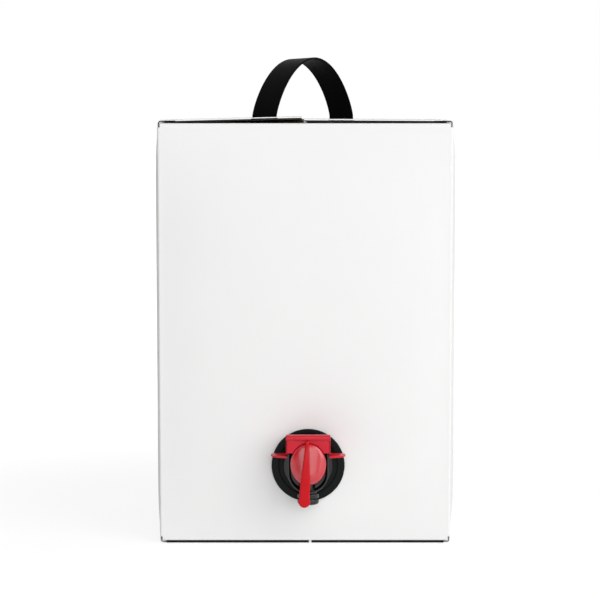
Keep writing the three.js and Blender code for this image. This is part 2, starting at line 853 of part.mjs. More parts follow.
function tamperStrip() {
  const apart = 0.5 + stripThickness / 2;
  const side = [new THREE.Vector2(faceFront + apart, stripTop + 1)];
  for (let k = 0; k <= 6; k += 1) {
    const turn = THREE.MathUtils.degToRad(66 * (1 - k / 6));
    side.push(
      new THREE.Vector2(
        buttonBack + capEdge + (buttonCrown + apart) * Math.cos(turn),
        buttonCentre + (buttonHalfHeight + apart) * Math.sin(turn),
      ),
    );
  }
  const crownOut = side[side.length - 1].x;
  side.push(new THREE.Vector2(crownOut, buttonCentre - 7));
  side.push(new THREE.Vector2(crownOut - 0.5, -housingArc - 6));
  side.push(new THREE.Vector2(crownOut - 1.1, stripBottom - stripEndRadius - 1));
  const bentSheet = beam(sheetOutline(side, stripThickness), -20, 20);
  const outline = plate(stripOutline(), 0, crownOut + 10, 10);
  return outline.intersect(bentSheet);
}

// Scene

const whiteBoard = new THREE.MeshStandardMaterial({ color: 0xf2f1ee, roughness: 0.75, metalness: 0 });
const blackStrap = new THREE.MeshStandardMaterial({ color: 0x0c0c0d, roughness: 0.45, metalness: 0 });
const clearFilm = new THREE.MeshStandardMaterial({ color: 0xc9ced2, roughness: 0.25, metalness: 0.3 });
const blackPlastic = new THREE.MeshStandardMaterial({ color: 0x0b0d0e, roughness: 0.2, metalness: 0 });
const redPlastic = new THREE.MeshStandardMaterial({ color: 0xd3101f, roughness: 0.25, metalness: 0 });
const whitePlastic = new THREE.MeshStandardMaterial({ color: 0xe6e4dc, roughness: 0.4, metalness: 0 });
const softSeal = new THREE.MeshStandardMaterial({ color: 0xb9b4a6, roughness: 0.6, metalness: 0 });

function piece(name, solid, material) {
  const mesh = new THREE.Mesh(geometryOf(solid), material);
  mesh.name = name;
  return mesh;
}

const pack = new THREE.Group();
pack.add(piece("carton", carton(), whiteBoard));
pack.add(piece("handle_strap", handleStrap(), blackStrap));
pack.add(piece("inner_bag", innerBag(), clearFilm));

const tap = new THREE.Group();
tap.position.set(tapX, -cartonDepth / 2 - tapShift, tapHeight);
tap.add(piece("spout_gland", spoutGland(), blackPlastic));
tap.add(piece("tap_body", tapBody(), blackPlastic));
tap.add(piece("push_button", pushButton(), redPlastic));
tap.add(piece("valve_stem", valveStem(), whitePlastic));
tap.add(piece("valve_seal", valveSeal(), softSeal));
tap.add(piece("grip_frame", gripFrame(), redPlastic));
tap.add(piece("tamper_strip", tamperStrip(), redPlastic));
pack.add(tap);

export default pack;
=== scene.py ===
# Bag in box carton: white board, full bag, black strap and press tap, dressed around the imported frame.
# Sizes are in millimetres until a mesh is made; Blender gets metres.
import math

import bmesh
import bpy
import numpy as np
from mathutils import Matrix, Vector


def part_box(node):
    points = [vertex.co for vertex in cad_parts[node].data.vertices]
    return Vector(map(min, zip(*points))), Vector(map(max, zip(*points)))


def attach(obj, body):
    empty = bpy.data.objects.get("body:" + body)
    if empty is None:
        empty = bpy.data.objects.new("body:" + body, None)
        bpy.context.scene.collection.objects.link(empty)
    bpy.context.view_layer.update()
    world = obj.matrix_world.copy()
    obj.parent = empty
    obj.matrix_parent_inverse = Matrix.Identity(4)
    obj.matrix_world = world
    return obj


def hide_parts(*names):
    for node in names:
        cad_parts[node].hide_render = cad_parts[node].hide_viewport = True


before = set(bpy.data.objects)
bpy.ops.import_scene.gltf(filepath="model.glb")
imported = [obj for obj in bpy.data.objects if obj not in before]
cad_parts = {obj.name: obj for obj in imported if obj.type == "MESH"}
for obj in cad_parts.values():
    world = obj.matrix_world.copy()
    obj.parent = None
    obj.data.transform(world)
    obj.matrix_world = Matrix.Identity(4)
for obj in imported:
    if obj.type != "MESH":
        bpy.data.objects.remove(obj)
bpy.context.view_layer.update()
print("frame loaded")

mm = 0.001
scene = bpy.context.scene


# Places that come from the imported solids

def boxOf(node):
    low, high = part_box(node)
    return np.array(low) / mm, np.array(high) / mm


glandLow, glandHigh = boxOf("spout_gland")
bagLow, bagHigh = boxOf("inner_bag")
tapX = (glandLow[0] + glandHigh[0]) / 2
tapZ = (glandLow[2] + glandHigh[2]) / 2


# Building meshes from whole arrays

def gridFaces(rows, columns, closeRows=False, closeColumns=False, first=0):
    # quads between neighbouring rows and columns of a grid of points, wrapped round where asked
    r = np.arange(rows if closeRows else rows - 1)
    c = np.arange(columns if closeColumns else columns - 1)
    rr, cc = np.meshgrid(r, c, indexing="ij")
    row, nextRow, nextC = rr * columns, (rr + 1) % rows * columns, (cc + 1) % columns
    quads = np.stack([row + cc, row + nextC, nextRow + nextC, nextRow + cc], -1)
    return quads.reshape(-1, 4) + first


def newMesh(name, points, faces):
    mesh = bpy.data.meshes.new(name)
    points = np.asarray(points, float).reshape(-1, 3) * mm
    faces = np.asarray(faces)
    mesh.vertices.add(len(points))
    mesh.vertices.foreach_set("co", points.ravel())
    mesh.loops.add(faces.size)
    mesh.loops.foreach_set("vertex_index", faces.ravel())
    mesh.polygons.add(len(faces))
    mesh.polygons.foreach_set("loop_start", np.arange(0, faces.size, faces.shape[1]))
    mesh.update(calc_edges=True)
    mesh.validate()
    return mesh


def tidyMesh(mesh, sharpAngle, recalculate=True):
    # joins doubles, turns faces outwards and smooths all but the sharp edges
    work = bmesh.new()
    work.from_mesh(mesh)
    bmesh.ops.remove_doubles(work, verts=work.verts, dist=2e-6)
    bmesh.ops.dissolve_degenerate(work, edges=work.edges, dist=1e-7)
    if recalculate:
        bmesh.ops.recalc_face_normals(work, faces=work.faces)
    work.to_mesh(mesh)
    work.free()
    mesh.polygons.foreach_set("use_smooth", np.ones(len(mesh.polygons), bool))
    mesh.set_sharp_from_angle(angle=math.radians(sharpAngle))


def newPiece(name, points, faces, material, sharpAngle=45, recalculate=True):
    mesh = newMesh(name, points, faces)
    tidyMesh(mesh, sharpAngle, recalculate)
    piece = bpy.data.objects.new(name, mesh)
    scene.collection.objects.link(piece)
    mesh.materials.append(material)
    return piece


def dress(piece, body, slot, *nodes):
    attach(piece, body)
    if nodes:
        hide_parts(*nodes)
    return piece


def rectangle(left, right, low, high):
    return [[left, low], [right, low], [right, high], [left, high]]


class Shells:
    # collects closed surfaces that make one piece
    def __init__(self):
        self.points, self.faces, self.count = [], [], 0

    def add(self, grid, closeRows=False, closeColumns=False):
        rows, columns = grid.shape[:2]
        self.faces.append(gridFaces(rows, columns, closeRows, closeColumns, self.count))
        self.points.append(grid.reshape(-1, 3))
        self.count += rows * columns
        return self

    def tube(self, grid):
        return self.add(grid, closeColumns=True)

    def ring(self, grid):
        return self.add(grid, closeRows=True, closeColumns=True)

    def plate(self, outline, low, high, radius, place, steps=5):
        return self.tube(mouldedGrid(outline, low, high, radius, place, steps))

    def piece(self, name, material, sharpAngle=45, recalculate=True):
        points, faces = np.concatenate(self.points), np.concatenate(self.faces)
        return newPiece(name, points, faces, material, sharpAngle, recalculate)


def closedEnds(grid):
    # a tube of points with its first and last rows drawn together, each at its own middle
    first, last = (end.mean(0) + 0 * end for end in (grid[0], grid[-1]))
    return np.concatenate([[first], grid, [last]])


def fullTurn(steps):
    return np.linspace(0, 2 * math.pi, steps, endpoint=False)


def smoothStep(value, low, high):
    t = np.clip((value - low) / (high - low), 0, 1)
    return t * t * (3 - 2 * t)


def squared(value, power):
    # the power of a value that keeps its sign, for rounded squares
    return np.sign(value) * np.abs(value) ** power


def roundCorners(corners, radius, steps):
    # each corner of a polygon becomes an arc that is tangent to both its sides
    corners = np.asarray(corners, float)
    radius = np.broadcast_to(radius, len(corners))
    out = []
    for i, corner in enumerate(corners):
        a = corners[i - 1] - corner
        b = corners[(i + 1) % len(corners)] - corner
        la, lb = np.linalg.norm(a), np.linalg.norm(b)
        half = math.acos(np.clip(a @ b / (la * lb), -1, 1)) / 2
        reach = min(radius[i] / math.tan(half), 0.48 * la, 0.48 * lb)
        if radius[i] <= 0 or half > math.pi / 2 - 0.02:
            out.append(corner[None])
            continue
        start, end = corner + a / la * reach, corner + b / lb * reach
        t = np.linspace(0, 1, steps + 1)[:, None]
        weight = 1 / math.sin(half)  # with this weight at the corner, the curve is a true arc
        num = (1 - t) ** 2 * start + 2 * t * (1 - t) * corner / weight + t ** 2 * end
        out.append(num / ((1 - t) ** 2 + 2 * t * (1 - t) / weight + t ** 2))
    return np.concatenate(out)


def toWorld(across, up, out):
    # the tap's own coordinates: across and up seen from the front, and out from the front panel
    across, up, out = np.broadcast_arrays(across, up, out)
    return np.stack([tapX + across, panelY - out, tapZ + up], -1)


def turnedGrid(profile, segments):
    # a closed profile of radius and distance out, turned about the tap's axis
    radius, out = np.transpose(profile)
    turn = fullTurn(segments)[:, None]
    return toWorld(np.cos(turn) * radius, np.sin(turn) * radius, out)


def uprightGrid(profile, out, segments):
    # a closed profile of radius and height, turned about an upright axis at a distance out
    radius, up = np.transpose(profile)
    turn = fullTurn(segments)[:, None]
    return toWorld(np.cos(turn) * radius, up, out + np.sin(turn) * radius)


def mouldedGrid(outline, low, high, radius, place, steps=5):
    # a plate: rings of its outline, drawn in by an arc at both edges, then closed to the middle
    outline = np.asarray(outline, float)
    before, after = np.roll(outline, 1, 0), np.roll(outline, -1, 0)
    along = after - before
    along /= np.linalg.norm(along, axis=1)[:, None]
    inward = np.stack([-along[:, 1], along[:, 0]], 1)
    area = np.sum(outline[:, 0] * after[:, 1] - after[:, 0] * outline[:, 1])
    inward *= np.sign(area)
    turn = np.linspace(0, math.pi / 2, steps + 1)
    inset = np.concatenate([radius * (1 - np.sin(turn)), radius * (1 - np.cos(turn))])
    level = np.concatenate([low + radius * (1 - np.cos(turn)), high - radius * (1 - np.sin(turn))])
    rings = outline[None] + inward[None] * inset[:, None, None]
    middle = outline.mean(0)
    shrink = np.array([0.0, 0.5, 0.93])[:, None, None]
    first = middle + (rings[0] - middle) * shrink
    last = middle + (rings[-1] - middle) * shrink[::-1]
    rings = np.concatenate([first, rings, last])
    level = np.concatenate([[low] * 3, level, [high] * 3])
    a, b = rings[..., 0], rings[..., 1]
    return place(a, b, np.broadcast_to(level[:, None], a.shape))


# Materials

def newMaterial(name):
    material = bpy.data.materials.new(name)
    material.use_nodes = True
    return material, material.node_tree, material.node_tree.nodes["Principled BSDF"]


def link(tree, source, target):
    tree.links.new(source, target)


def preset(node, values):
    for socket, value in values.items():
        node.inputs[socket].default_value = value


def mottleGroup():
    # one group for all surfaces: a soft large mottle and a fine grain, from Object coordinates
    group = bpy.data.node_groups.new("surfaceMottle", "ShaderNodeTree")
    for name, kind in (("Large Size", "INPUT"), ("Fine Size", "INPUT"), ("Large", "OUTPUT"), ("Fine", "OUTPUT")):
        group.interface.new_socket(name, in_out=kind, socket_type="NodeSocketFloat")
    kinds = ("NodeGroupInput", "NodeGroupOutput", "ShaderNodeTexCoord")
    start, end, place = (group.nodes.new(kind) for kind in kinds)
    for name, detail in (("Large", 3.0), ("Fine", 2.0)):
        noise = group.nodes.new("ShaderNodeTexNoise")
        noise.inputs["Detail"].default_value = detail
        link(group, place.outputs["Object"], noise.inputs["Vector"])
        link(group, start.outputs[name + " Size"], noise.inputs["Scale"])
        link(group, noise.outputs["Fac"], end.inputs[name])
    return group


mottle = mottleGroup()


def finish(name, look):
    # one material: colour and roughness vary with the large mottle, and the fine grain gives the bump
    material, tree, shader = newMaterial(name)
    nodes = tree.nodes
    pattern = nodes.new("ShaderNodeGroup")
    pattern.node_tree = mottle
    preset(pattern, dict(zip(("Large Size", "Fine Size"), look["sizes"])))
    colour = nodes.new("ShaderNodeMix")
    colour.data_type = "RGBA"
    preset(colour, {end: (*shade, 1) for end, shade in zip("AB", look["colours"])})
    link(tree, pattern.outputs["Large"], colour.inputs["Factor"])
    link(tree, colour.outputs["Result"], shader.inputs["Base Color"])
    rough = nodes.new("ShaderNodeMapRange")
    preset(rough, dict(zip(("To Min", "To Max"), look["roughness"])))
    link(tree, pattern.outputs["Large"], rough.inputs["Value"])
    link(tree, rough.outputs["Result"], shader.inputs["Roughness"])
    bump = nodes.new("ShaderNodeBump")
    preset(bump, {"Strength": look["bump"], "Distance": look.get("bumpDepth", 0.0001)})
    link(tree, pattern.outputs["Fine"], bump.inputs["Height"])
    link(tree, bump.outputs["Normal"], shader.inputs["Normal"])
    preset(shader, look.get("plain", {}))
    return material


boardWhite = finish("boardWhite", dict(
    colours=((0.86, 0.86, 0.855), (0.89, 0.89, 0.885)), sizes=(26.0, 1500.0),
    roughness=(0.5, 0.62), bump=0.06, plain={"Specular IOR Level": 0.35},
))
innerLiner = finish("innerLiner", dict(
    colours=((0.62, 0.6, 0.56), (0.7, 0.68, 0.64)), sizes=(60.0, 1200.0),
    roughness=(0.75, 0.9), bump=0.2,
))
# the flute core is near black, much darker than its own brown: painted shade for the dark gaps under the flap edges
fluteBrownPaintedShade = finish("fluteBrownPaintedShade", dict(
    colours=((0.03, 0.027, 0.024), (0.06, 0.052, 0.045)), sizes=(120.0, 1500.0),
    roughness=(0.8, 0.95), bump=0.3,
))
glueAmber = finish("glueAmber", dict(
    colours=((0.05, 0.028, 0.01), (0.09, 0.05, 0.02)), sizes=(160.0, 700.0),
    roughness=(0.2, 0.35), bump=0.1,
))
redLook = dict(
    colours=((0.54, 0.005, 0.018), (0.58, 0.006, 0.022)), sizes=(60.0, 500.0),
    roughness=(0.2, 0.28), bump=0.03,
    plain={"Specular IOR Level": 0.7, "Coat Weight": 0.25, "Coat Roughness": 0.18, "Coat IOR": 1.8},
)
redButton = finish("redButton", redLook)
redGrip = finish("redGrip", dict(
    redLook, colours=((0.58, 0.007, 0.022), (0.62, 0.009, 0.027)),
    roughness=(0.24, 0.32), bump=0.05, plain={"Specular IOR Level": 0.3}))
redStrip = finish("redStrip", dict(
    redLook, colours=((0.54, 0.003, 0.008), (0.58, 0.004, 0.01)),
    roughness=(0.34, 0.42), bump=0.06, plain={"Specular IOR Level": 0.2}))
blackGloss = finish("blackGloss", dict(
    colours=((0.002, 0.0024, 0.0028), (0.004, 0.005, 0.0055)), sizes=(80.0, 400.0),
    roughness=(0.1, 0.16), bump=0.02, plain={"Specular IOR Level": 0.5},
))
blackFlange = finish("blackFlange", dict(
    colours=((0.003, 0.004, 0.004), (0.006, 0.0075, 0.008)), sizes=(260.0, 1800.0),
    roughness=(0.3, 0.44), bump=0.2, bumpDepth=0.00015, plain={"Specular IOR Level": 0.12},
))
blackStrap = finish("blackStrap", dict(
    colours=((0.0018, 0.0018, 0.0019), (0.0028, 0.0028, 0.003)), sizes=(60.0, 900.0),
    roughness=(0.38, 0.48), bump=0.08, plain={"Specular IOR Level": 0.02},
))
bagFilm = finish("bagFilm", dict(
    colours=((0.55, 0.57, 0.6), (0.7, 0.72, 0.74)), sizes=(40.0, 300.0),
    roughness=(0.16, 0.3), bump=0.4, bumpDepth=0.0004, plain={"Metallic": 0.75},
))
stemWhite = finish("stemWhite", dict(
    colours=((0.78, 0.77, 0.72), (0.84, 0.83, 0.79)), sizes=(80.0, 700.0),
    roughness=(0.35, 0.45), bump=0.05, plain={"Subsurface Weight": 0.1},
))
sealSoft = finish("sealSoft", dict(
    colours=((0.36, 0.34, 0.3), (0.42, 0.4, 0.36)), sizes=(90.0, 900.0),
    roughness=(0.6, 0.75), bump=0.1,
))

print("materials made")


# Carton: each liner is one folded sheet, computed at two depths of the board and stitched along its edges

carton = {
    "width": 170.0, "depth": 100.0, "height": 247.0, "board": 1.6, "liner": 0.5, "foldRadius": 2.4,
    "creaseRadius": 1.2, "sideFold": 2.0, "endFold": 1.0, "flapGap": 0.3, "innerFlapLength": 47.0,
    "meetingGap": 1.2, "topMeetingX": -1.2, "bottomMeetingX": 3.0, "leftFlapLift": 2.0, "rightFlapLift": 0.45,
    "flapSetback": 0.55, "linerSetback": 7.0, "leftBulge": 2.7, "rightBulge": 3.5, "sidePower": 14,
    "panelBulge": 4.0, "seamGap": 0.6, "seamDepth": 1.0, "tapHole": 15.5, "flatPatch": 24.2, "spacing": 4.0,
    "flutePitch": 3.2, "fluteSwing": 0.25, "glueAt": 21.0, "glueHalf": 3.0, "glueShort": 1.5, "glueOver": 1.1,
}
halfW, halfD = carton["width"] / 2, carton["depth"] / 2
foldEndZ = carton["board"] + carton["flapGap"] + carton["foldRadius"]
sheetEnd = carton["board"] + 0.1  # panels are flat up to this far from their creases


def crown(across, halfWidth, power):
    # 1 in the middle of a panel and 0 at its ends: 1 - |across / half width|^power
    return 1 - np.minimum(np.abs(across) / halfWidth, 1) ** power


def upTheWall(z, power):
    return crown(z - carton["height"] / 2, carton["height"] / 2 - foldEndZ, power)


def plainShift(x, z):
    # how far a large panel bulges: its bulge * (1 - |x|^3) * (1 - |z|^4), as shares of half its size
    return carton["panelBulge"] * crown(x, halfW - carton["foldRadius"], 3) * upTheWall(z, 4)


tapShift = float(plainShift(tapX, tapZ))
panelY = -halfD - tapShift  # outside of the front panel at the tap


def frontShift(x, z):
    # the panel's bulge, held flat around the tap
    fromTap = np.hypot(x - tapX, z - tapZ)
    free = smoothStep(fromTap, carton["flatPatch"], carton["flatPatch"] * 2)
    return tapShift * (1 - free) + plainShift(x, z) * free


def bend(points):
    # moves points of the plain carton out with the bulges of its four panels, and by nothing at the folds
    x, y, z = points[..., 0], points[..., 1], points[..., 2]
    side = np.where(x < 0, carton["leftBulge"], carton["rightBulge"])
    shiftX = side * crown(y, halfD - carton["foldRadius"], 4) * upTheWall(z, carton["sidePower"])
    shiftY = np.where(y < 0, frontShift(x, z), plainShift(x, z))
    return np.stack([x + shiftX * x / halfW, y + shiftY * y / halfD, z], -1)


def evenly(low, high, spacing):
    return np.linspace(low, high, max(int(round(abs(high - low) / spacing)), 1) + 1)


def panelPlaces(half):
    return evenly(-half + sheetEnd, half - sheetEnd, carton["spacing"])


flapPlaces = [(upright, side) for upright in (True, False) for side in (-1, 1)]


def topFlapLift(side, upright):
    # how far the free edge of an outer flap stands up
    return carton["leftFlapLift" if side < 0 else "rightFlapLift"] if upright else 0.0


def flapMeeting(side, upright):
    # the free edge of an outer flap, measured from the middle towards its own side
    meeting = carton["topMeetingX"] if upright else carton["bottomMeetingX"]
    return side * meeting + carton["meetingGap"] / 2


def wallLevels():
    # heights up a wall, closer together next to the folds
    inner = evenly(foldEndZ + 6, carton["height"] - foldEndZ - 6, carton["spacing"])
    near = foldEndZ + np.array([0, 0.7, 1.6, 2.8, 4.2])
    return np.concatenate([near, inner, carton["height"] - near[::-1]])


def wallRing(inset):
    # one trip round the carton at a depth in the board: four straight panels and four quarter circles
    r = max(carton["creaseRadius"] - inset, 0.05)
    w, d = halfW - inset, halfD - inset
    ys, xs = panelPlaces(halfD), panelPlaces(halfW)
    turn = np.linspace(0, math.pi / 2, 7)
    arc = np.stack([np.cos(turn), np.sin(turn)], 1) * r

    def quarter(cx, cy, k):
        c, s = math.cos(k * math.pi / 2), math.sin(k * math.pi / 2)
        return np.stack([cx + arc[:, 0] * c - arc[:, 1] * s, cy + arc[:, 0] * s + arc[:, 1] * c], 1)

    return np.concatenate([
        np.stack([np.full(len(ys), w), ys], 1), quarter(w - r, d - r, 0),
        np.stack([xs[::-1], np.full(len(xs), d)], 1), quarter(-w + r, d - r, 1),
        np.stack([np.full(len(ys), -w), ys[::-1]], 1), quarter(-w + r, -d + r, 2),
        np.stack([xs, np.full(len(xs), -d)], 1), quarter(w - r, -d + r, 3),
    ])


def flapRows(half, radius, stack, freeEdge, lift, inset):
    # a flap seen from the end: down the wall, round the fold and out flat to the free edge
    r = max(radius - inset, 0.05)
    turn = np.linspace(0, math.pi / 2, 8)
    edge, top = half - inset, stack + inset
    flat = evenly(half - sheetEnd - 1.5, freeEdge, carton["spacing"])
    raised = lift * (flat[0] - flat) / (flat[0] - freeEdge)
    down = np.concatenate([[foldEndZ], top + r * (1 - np.sin(turn)), top - raised])
    out = np.concatenate([[edge], edge - r * (1 - np.cos(turn)), flat])
    return out, down


def flapGrid(side, upright, outer, inset, setback):
    # one flap: outer flaps hang on the left and right walls and inner flaps on the front and back
    half, halfAcross = (halfW, halfD) if outer else (halfD, halfW)
    if outer:
        lift, free = topFlapLift(side, upright), flapMeeting(side, upright)
        stack, radius = 0.0, carton["sideFold"]
        endWidth = halfD - carton["flapSetback"] - setback
    else:
        lift, stack, radius = 0.0, carton["board"] + carton["flapGap"], carton["endFold"]
        free, endWidth = halfD - carton["innerFlapLength"], halfW - carton["board"] - 0.6
    out, down = flapRows(half, radius, stack, free, lift, inset)
    across = panelPlaces(halfAcross)
    widen = endWidth / (halfAcross - sheetEnd) - 1
    spread = smoothStep(half - out, radius, radius + (6 if outer else 12))
    wide = across[None] * (1 + widen * spread[:, None])
    z = carton["height"] - down if upright else down
    out, z = side * out[:, None] + 0 * wide, z[:, None] + 0 * wide
    return np.stack([out, wide, z] if outer else [wide, out, z], -1)


def cartonSheet(inset, setback):
    shells = Shells()
    levels, ring = wallLevels(), wallRing(inset)
    x, z = np.broadcast_arrays(ring[:, 0], levels[:, None])
    walls = np.stack([x, np.broadcast_to(ring[:, 1], x.shape), z], -1)
    shells.tube(bend(walls))
    for upright, side in flapPlaces:
        for outer in (True, False):
            shells.add(flapGrid(side, upright, outer, inset, setback))
    return np.concatenate(shells.points), np.concatenate(shells.faces)


def stitched(name, outer, inner, faces, material):
    # two sheets with the same faces become a closed one: equal points are joined and free edges bridged
    keys = np.round(outer / 0.002).astype(np.int64)
    _, first, inverse = np.unique(keys, axis=0, return_index=True, return_inverse=True)
    faces, count = inverse.ravel()[faces], len(first)
    edges = np.stack([faces, np.roll(faces, -1, 1)], -1).reshape(-1, 2)
    _, place, times = np.unique(np.sort(edges, 1), axis=0, return_index=True, return_counts=True)
    free = edges[place[times == 1]]
    bridges = np.stack([free[:, 1], free[:, 0], free[:, 0] + count, free[:, 1] + count], 1)
    points = np.concatenate([outer[first], inner[first]])
    return newPiece(name, points, np.concatenate([faces, faces[:, ::-1] + count, bridges]), material, 50)


def applyModifiers(piece):
    graph = bpy.context.evaluated_depsgraph_get()
    done = bpy.data.meshes.new_from_object(piece.evaluated_get(graph))
    piece.modifiers.clear()
    old = piece.data
    piece.data = done
    bpy.data.meshes.remove(old)


def cutAway(piece, cutters):
    for cutter in cutters:
        modifier = piece.modifiers.new("cut", "BOOLEAN")
        modifier.operation = "DIFFERENCE"
        modifier.solver = "EXACT"
        modifier.object = cutter
    applyModifiers(piece)


strap = {
    "width": 17.0, "thickness": 1.2, "span": 82.4, "rise": 36.5, "angle": 56.0, "x": -0.6, "tilt": 0.7,
    "power": 0.765, "foot": 8.0, "footWidth": 24.0, "slotClearance": 0.5, "edge": 0.45, "ribPitch": 1.1,
    "ribHeight": 0.05,
}
strapTurn = math.radians(strap["angle"])
strapAlong = np.array([math.cos(strapTurn), math.sin(strapTurn), 0])
strapAcross = np.array([math.sin(strapTurn), -math.cos(strapTurn), 0])
strapFootZ = carton["height"] - 2 * carton["board"] - carton["flapGap"] - 0.3 - strap["thickness"] / 2


def strapPlace(along, across, z):
    along, across, z = np.broadcast_arrays(along, across, z)
    flat = along[..., None] * strapAlong + across[..., None] * strapAcross
    return flat + np.stack([np.full(z.shape, strap["x"]), np.zeros(z.shape), z], -1)


def slotCutter(side):
    halfLong = strap["width"] / 2 + strap["slotClearance"]
    halfShort = strap["thickness"] / 2 + strap["slotClearance"]
    at = side * strap["span"] / 2
    outline = roundCorners(rectangle(at - halfShort, at + halfShort, -halfLong, halfLong), 0.6, 3)
    shells = Shells().plate(outline, strapFootZ, carton["height"] + 6, 0.01, strapPlace, 1)
    return shells.piece("slotCutter", boardWhite)


def holeCutter():
    grid = turnedGrid(rectangle(0, carton["tapHole"], -8, 6), 96)
    return Shells().add(grid, closeRows=True).piece("holeCutter", boardWhite)


def cartonPlace(x, y, z):
    return np.stack([x, y, z], -1)


def seamCutter():
    # the open line beside the glued corner, through the outer liner of the back panel
    near = -halfW + carton["board"]
    outline = rectangle(near, near + carton["seamGap"], halfD - carton["seamDepth"], halfD + 6)
    shells = Shells().plate(outline, foldEndZ - 1, carton["height"] - foldEndZ + 1, 0.01, cartonPlace, 1)
    return shells.piece("seamCutter", boardWhite)


def fluteSheet():
    # the fluted middle of the four outer flaps: height = swing * sin(2 pi * place across / pitch)
    shells = Shells()
    low, high = carton["board"] - 0.05, carton["liner"] + 0.02
    end = halfD - carton["flapSetback"] - 0.15
    ys = np.linspace(-end, end, 501)
    wave = np.sin(ys * 2 * math.pi / carton["flutePitch"])
    for upright, side in flapPlaces:
        lift, free = topFlapLift(side, upright), flapMeeting(side, upright) + 0.4
        out = evenly(halfW - carton["sideFold"] - 2, free, 20)
        share = (out[0] - out) / (out[0] - free)
        layers = []
        for depth, swing in ((high, 0.0), (low - carton["fluteSwing"], carton["fluteSwing"])):
            down = depth - lift * share[:, None] + swing * wave[None]
            z = carton["height"] - down if upright else down
            layers.append(np.stack([side * out[:, None] + 0 * z, ys[None] + 0 * z, z], -1))
        shells.add(np.concatenate([layers[0], layers[1][::-1]]), closeRows=True)
    return shells


def glueBeads():
    # hot-melt beads between inner and outer flaps: a flattened oval carried along each outer flap, with
    # its half width = 3 * (1 + 0.12 sin(0.7 out) + 0.08 sin(1.9 out + 1))
    shells = Shells()
    turn = fullTurn(16)
    for upright, side in flapPlaces:
        # under the flap that stands up most, the glue is squeezed out past its edge
        lift = topFlapLift(side, upright)
        free = flapMeeting(side, upright) + (-carton["glueOver"] if lift > 1 else carton["glueShort"])
        out = evenly(halfW - carton["sideFold"] - 4, free, 3)
        share = (out[0] - out) / (out[0] - free)
        top = carton["board"] - lift * share - 0.02
        low = carton["board"] + carton["flapGap"] + 0.02
        wobble = 1 + 0.12 * np.sin(out * 0.7) + 0.08 * np.sin(out * 1.9 + 1)
        for y in (-carton["glueAt"], carton["glueAt"]):
            down = ((top + low) / 2)[:, None] + ((low - top) / 2)[:, None] * np.sin(turn)[None]
            across = y + carton["glueHalf"] * wobble[:, None] * np.cos(turn)[None]
            z = carton["height"] - down if upright else down
            shells.tube(closedEnds(np.stack([side * out[:, None] + 0 * z, across, z], -1)))
    return shells


def makeCarton():
    slots = [slotCutter(-1), slotCutter(1), holeCutter()]
    seam = seamCutter()
    board, liner = carton["board"], carton["liner"]
    for name, near, far, setback, material, cutters in (
        ("cartonOuterLiner", 0.0, liner, 0.0, boardWhite, slots + [seam]),
        ("cartonInnerLiner", board - liner, board, carton["linerSetback"], innerLiner, slots),
    ):
        outer, faces = cartonSheet(near, setback)
        piece = stitched(name, outer, cartonSheet(far, setback)[0], faces, material)
        cutAway(piece, cutters)
        tidyMesh(piece.data, 50, False)
        dress(piece, "pack", "white_board", "carton")
    # the flutes carry painted shade: their near black colour stands in for the shadow in the gaps under the flap
    # edges
    flutes = fluteSheet().piece("cartonFlutes", fluteBrownPaintedShade)
    cutAway(flutes, slots[:2])
    dress(flutes, "pack", "white_board", "carton")
    dress(glueBeads().piece("flapGlue", glueAmber), "pack", "white_board", "carton")
    for cutter in slots + [seam]:
        bpy.data.objects.remove(cutter)
    print("carton made")


makeCarton()


# Carrying strap: a section with round edges and fine ribs, carried over the arch and its two feet

def strapPath():
    # foot, leg and arch: height = base + rise * (1 - (s / half)^2)^power along the arch
    half, bendSize = strap["span"] / 2, 1.4
    turn = np.linspace(0, math.pi / 2, 6)
    foot = np.stack([-half - bendSize * (1 - np.sin(turn)), strapFootZ + bendSize * (1 - np.cos(turn))], 1)
    lead = np.array([[-half - strap["foot"], strapFootZ], [-half - strap["foot"] * 0.5, strapFootZ]])
    base = carton["height"] + carton["leftFlapLift"]
    leg = np.stack([np.full(4, -half), np.linspace(strapFootZ + bendSize + 0.8, base - 0.5, 4)], 1)
    s = half * np.sin(np.linspace(-math.pi / 2, math.pi / 2, 91))
    rise = strap["rise"] - strap["thickness"] / 2 - carton["leftFlapLift"]
    arch = np.stack([s, base + rise * np.clip(1 - (s / half) ** 2, 0, 1) ** strap["power"]], 1)
    before = np.concatenate([lead, foot, leg])
    after = before[::-1] * np.array([-1, 1])
    return np.concatenate([before, arch, after])


def makeStrap():
    path = strapPath()
    along = np.gradient(path, axis=0)
    along /= np.linalg.norm(along, axis=1)[:, None]
    normal = np.stack([-along[:, 1], along[:, 0]], 1)
    half, thick = strap["width"] / 2, strap["thickness"] / 2
    section = roundCorners(rectangle(-half, half, -thick, thick), strap["edge"], 5)
    across, ribs = np.linspace(-half + 1.2, half - 1.2, 60), strap["ribHeight"]
    rib = ribs * np.cos((across + half) * 2 * math.pi / strap["ribPitch"])
    top = np.stack([across[::-1], thick - ribs + rib[::-1]], 1)
    bottom = np.stack([across, -thick + ribs - rib], 1)
    arcs = section.reshape(4, 6, 2)
    section = np.concatenate([arcs[0], bottom, arcs[1], arcs[2], top, arcs[3]])
    over = np.clip((path[:, 1] - carton["height"]) / strap["rise"], 0, 1)
    a, z = (path[:, [k]] + normal[:, [k]] * section[:, 1] for k in (0, 1))
    w = np.broadcast_to(section[:, 0], a.shape)
    z = z + strap["tilt"] * over[:, None] * w / strap["width"]
    shells = Shells().tube(closedEnds(strapPlace(a, w, z)))
    for side in (-1, 1):
        near, far = (side * (strap["span"] / 2 + strap["foot"] * share) for share in (0.35, 1))
        wide = strap["footWidth"] / 2
        outline = roundCorners(rectangle(near, far, -wide, wide), 1.2, 5)
        shells.plate(outline, strapFootZ - thick, strapFootZ + thick, 0.3, strapPlace)
    dress(shells.piece("carryStrap", blackStrap, 50), "pack", "black_strap", "handle_strap")
    print("strap made")


makeStrap()


# Bag: the film of the full bag, with pleats where it hugs the carton and a welded edge on top

